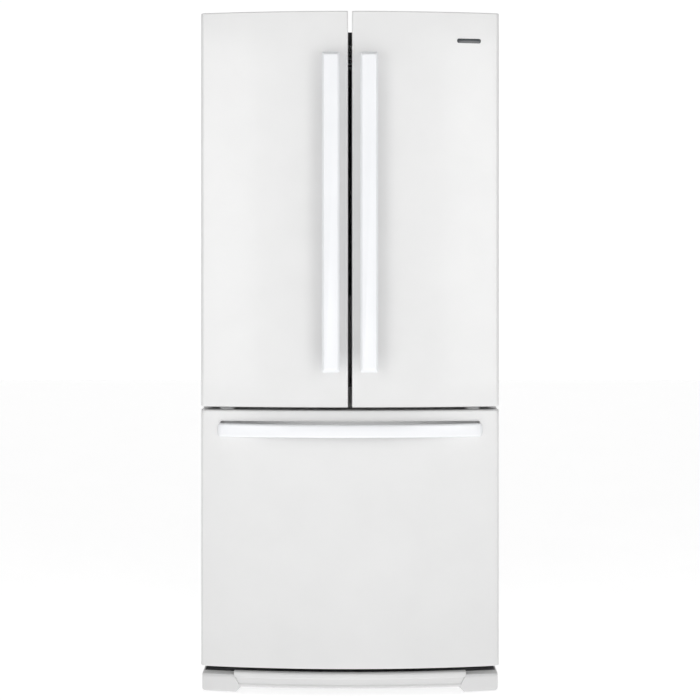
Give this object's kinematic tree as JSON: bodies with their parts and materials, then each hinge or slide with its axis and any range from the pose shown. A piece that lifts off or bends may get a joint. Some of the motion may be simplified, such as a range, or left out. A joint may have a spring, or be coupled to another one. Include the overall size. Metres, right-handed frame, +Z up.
{
  "type": "french door refrigerator",
  "caption": "Free-standing refrigerator with two crowned upper doors, tall bar handles, a bottom freezer drawer with a bowed handle, shelves, bins, crispers and a toe grille.",
  "frame": {"origin": "on the floor, at the middle of the overall width and depth (handles and rear panel included)", "axes": "+Z up, the doors face -Y, +X is to the right of someone facing the doors"},
  "size_m": [0.75, 0.862, 1.727],
  "materials": {
    "white_enamel": "smooth gloss white enamel with a faint orange peel",
    "white_handle": "gloss white, slightly cool",
    "white_cabinet_enamel": "white enamel with a fine pebbled texture",
    "hinge_paint": "white enamel over steel",
    "galvanised_steel": "galvanised steel",
    "foam": "rigid polyurethane foam",
    "white_liner": "white moulded plastic, satin",
    "white_plastic": "white moulded plastic, satin",
    "grey_trim": "dark grey moulded plastic",
    "black_plastic": "black moulded plastic",
    "seal": "soft white vinyl seal",
    "clear_plastic": "clear moulded plastic",
    "frosted_lens": "frosted plastic lens",
    "shelf_glass": "tempered glass",
    "basket_wire": "white vinyl-coated steel wire",
    "coil_aluminium": "bare aluminium fins",
    "fan_motor_metal": "dark enamel",
    "compressor_black": "black enamel",
    "condenser_steel": "black enamel on steel tube"
  },
  "bodies": {
    "cabinet": {"cabinet_shell": "white_cabinet_enamel", "cabinet_insulation": "foam", "fresh_food_liner": "white_liner", "freezer_liner": "white_liner", "rear_panels": "galvanised_steel", "power_cord_inlet": "black_plastic", "base_frame": "galvanised_steel", "base_grille": "white_plastic", "top_hinges": "galvanised_steel", "top_hinge_covers": "white_plastic", "center_hinges": "hinge_paint", "control_housing": "white_liner", "light_lens": "frosted_lens", "air_duct_covers": "white_liner", "shelf_supports": "white_liner", "glass_shelves": "shelf_glass", "crisper_cover": "white_liner", "freezer_rails": "galvanised_steel", "evaporator": "coil_aluminium", "fan_motors": "fan_motor_metal", "compressor": "compressor_black", "condenser": "condenser_steel", "drain_pan": "black_plastic"},
    "left_door": {"left_door_skin": "white_enamel", "left_door_insulation": "foam", "left_door_liner": "white_liner", "left_door_gasket": "seal", "left_door_handle": "white_handle", "left_door_hinge_bearings": "grey_trim"},
    "right_door": {"right_door_skin": "white_enamel", "right_door_insulation": "foam", "right_door_liner": "white_liner", "right_door_gasket": "seal", "right_door_handle": "white_handle", "right_door_hinge_bearings": "grey_trim"},
    "flipper": {"flipper_mullion": "grey_trim"},
    "freezer_drawer": {"freezer_drawer_skin": "white_enamel", "freezer_drawer_insulation": "foam", "freezer_drawer_liner": "white_liner", "freezer_drawer_gasket": "seal", "freezer_drawer_handle": "white_handle", "freezer_drawer_slides": "galvanised_steel"},
    "middle_slides": {"freezer_middle_slides": "galvanised_steel"},
    "lower_basket": {"lower_basket": "basket_wire"},
    "upper_basket": {"upper_basket": "basket_wire"},
    "left_crisper": {"left_crisper": "clear_plastic"},
    "right_crisper": {"right_crisper": "clear_plastic"},
    "left_humidity_control": {"left_humidity_control": "white_liner"},
    "right_humidity_control": {"right_humidity_control": "white_liner"},
    "evaporator_fan": {"evaporator_fan": "black_plastic"},
    "condenser_fan": {"condenser_fan": "black_plastic"},
    "rear_rollers": {"rear_rollers": "black_plastic"},
    "left_leveling_foot": {"left_leveling_foot": "black_plastic"},
    "right_leveling_foot": {"right_leveling_foot": "black_plastic"},
    "left_lower_bin": {"left_lower_bin": "clear_plastic"},
    "left_middle_bin": {"left_middle_bin": "clear_plastic"},
    "left_upper_bin": {"left_upper_bin": "clear_plastic"},
    "right_lower_bin": {"right_lower_bin": "clear_plastic"},
    "right_middle_bin": {"right_middle_bin": "clear_plastic"},
    "right_upper_bin": {"right_upper_bin": "clear_plastic"}
  },
  "joints": [
    {"name": "left_door_hinge", "type": "hinge", "parent": "cabinet", "child": "left_door", "pos_m": [-0.361, -0.305, 1.2], "axis": [0, 0, -1], "range_deg": [0, 120]},
    {"name": "right_door_hinge", "type": "hinge", "parent": "cabinet", "child": "right_door", "pos_m": [0.361, -0.305, 1.2], "axis": [0, 0, 1], "range_deg": [0, 120]},
    {"name": "flipper_fold", "type": "hinge", "parent": "left_door", "child": "flipper", "pos_m": [-0.031, -0.262, 1.222], "axis": [0, 0, 1], "range_deg": [-90, 0]},
    {"name": "freezer_drawer_slide", "type": "slide", "parent": "cabinet", "child": "freezer_drawer", "axis": [0, -1, 0], "range_m": [0, 0.45]},
    {"name": "middle_slides_travel", "type": "slide", "parent": "cabinet", "child": "middle_slides", "axis": [0, -1, 0], "range_m": [0, 0.225]},
    {"name": "lower_basket_lift", "type": "slide", "parent": "freezer_drawer", "child": "lower_basket", "axis": [0, 0, 1], "range_m": [0, 0.05]},
    {"name": "upper_basket_slide", "type": "slide", "parent": "cabinet", "child": "upper_basket", "axis": [0, -1, 0], "range_m": [0, 0.27]},
    {"name": "left_crisper_slide", "type": "slide", "parent": "cabinet", "child": "left_crisper", "axis": [0, -1, 0], "range_m": [0, 0.25]},
    {"name": "right_crisper_slide", "type": "slide", "parent": "cabinet", "child": "right_crisper", "axis": [0, -1, 0], "range_m": [0, 0.25]},
    {"name": "left_humidity_travel", "type": "slide", "parent": "cabinet", "child": "left_humidity_control", "axis": [1, 0, 0], "range_m": [-0.025, 0.025]},
    {"name": "right_humidity_travel", "type": "slide", "parent": "cabinet", "child": "right_humidity_control", "axis": [1, 0, 0], "range_m": [-0.025, 0.025]},
    {"name": "left_lower_bin_lift", "type": "slide", "parent": "left_door", "child": "left_lower_bin", "axis": [0, 0, 1], "range_m": [0, 0.075]},
    {"name": "left_middle_bin_lift", "type": "slide", "parent": "left_door", "child": "left_middle_bin", "axis": [0, 0, 1], "range_m": [0, 0.075]},
    {"name": "left_upper_bin_lift", "type": "slide", "parent": "left_door", "child": "left_upper_bin", "axis": [0, 0, 1], "range_m": [0, 0.075]},
    {"name": "right_lower_bin_lift", "type": "slide", "parent": "right_door", "child": "right_lower_bin", "axis": [0, 0, 1], "range_m": [0, 0.075]},
    {"name": "right_middle_bin_lift", "type": "slide", "parent": "right_door", "child": "right_middle_bin", "axis": [0, 0, 1], "range_m": [0, 0.075]},
    {"name": "right_upper_bin_lift", "type": "slide", "parent": "right_door", "child": "right_upper_bin", "axis": [0, 0, 1], "range_m": [0, 0.075]},
    {"name": "evaporator_fan_spin", "type": "hinge", "parent": "cabinet", "child": "evaporator_fan", "pos_m": [0, 0.319, 0.616], "axis": [0, -1, 0], "continuous": true},
    {"name": "condenser_fan_spin", "type": "hinge", "parent": "cabinet", "child": "condenser_fan", "pos_m": [0.052, 0.305, 0.135], "axis": [1, 0, 0], "continuous": true},
    {"name": "rear_rollers_spin", "type": "hinge", "parent": "cabinet", "child": "rear_rollers", "pos_m": [0, 0.385, 0.022], "axis": [1, 0, 0], "continuous": true},
    {"name": "left_foot_screw", "type": "slide", "parent": "cabinet", "child": "left_leveling_foot", "axis": [0, 0, -1], "range_m": [0, 0.02]},
    {"name": "right_foot_screw", "type": "slide", "parent": "cabinet", "child": "right_leveling_foot", "axis": [0, 0, -1], "range_m": [0, 0.02]}
  ],
  "couplings": [
    {"joint": "middle_slides_travel", "follows": "freezer_drawer_slide", "ratio": 0.5},
    {"joint": "upper_basket_slide", "follows": "freezer_drawer_slide", "ratio": 0.6},
    {"joint": "left_crisper_slide", "follows": "left_door_hinge", "m_per_rad": 0.1},
    {"joint": "right_crisper_slide", "follows": "right_door_hinge", "m_per_rad": 0.1}
  ]
}
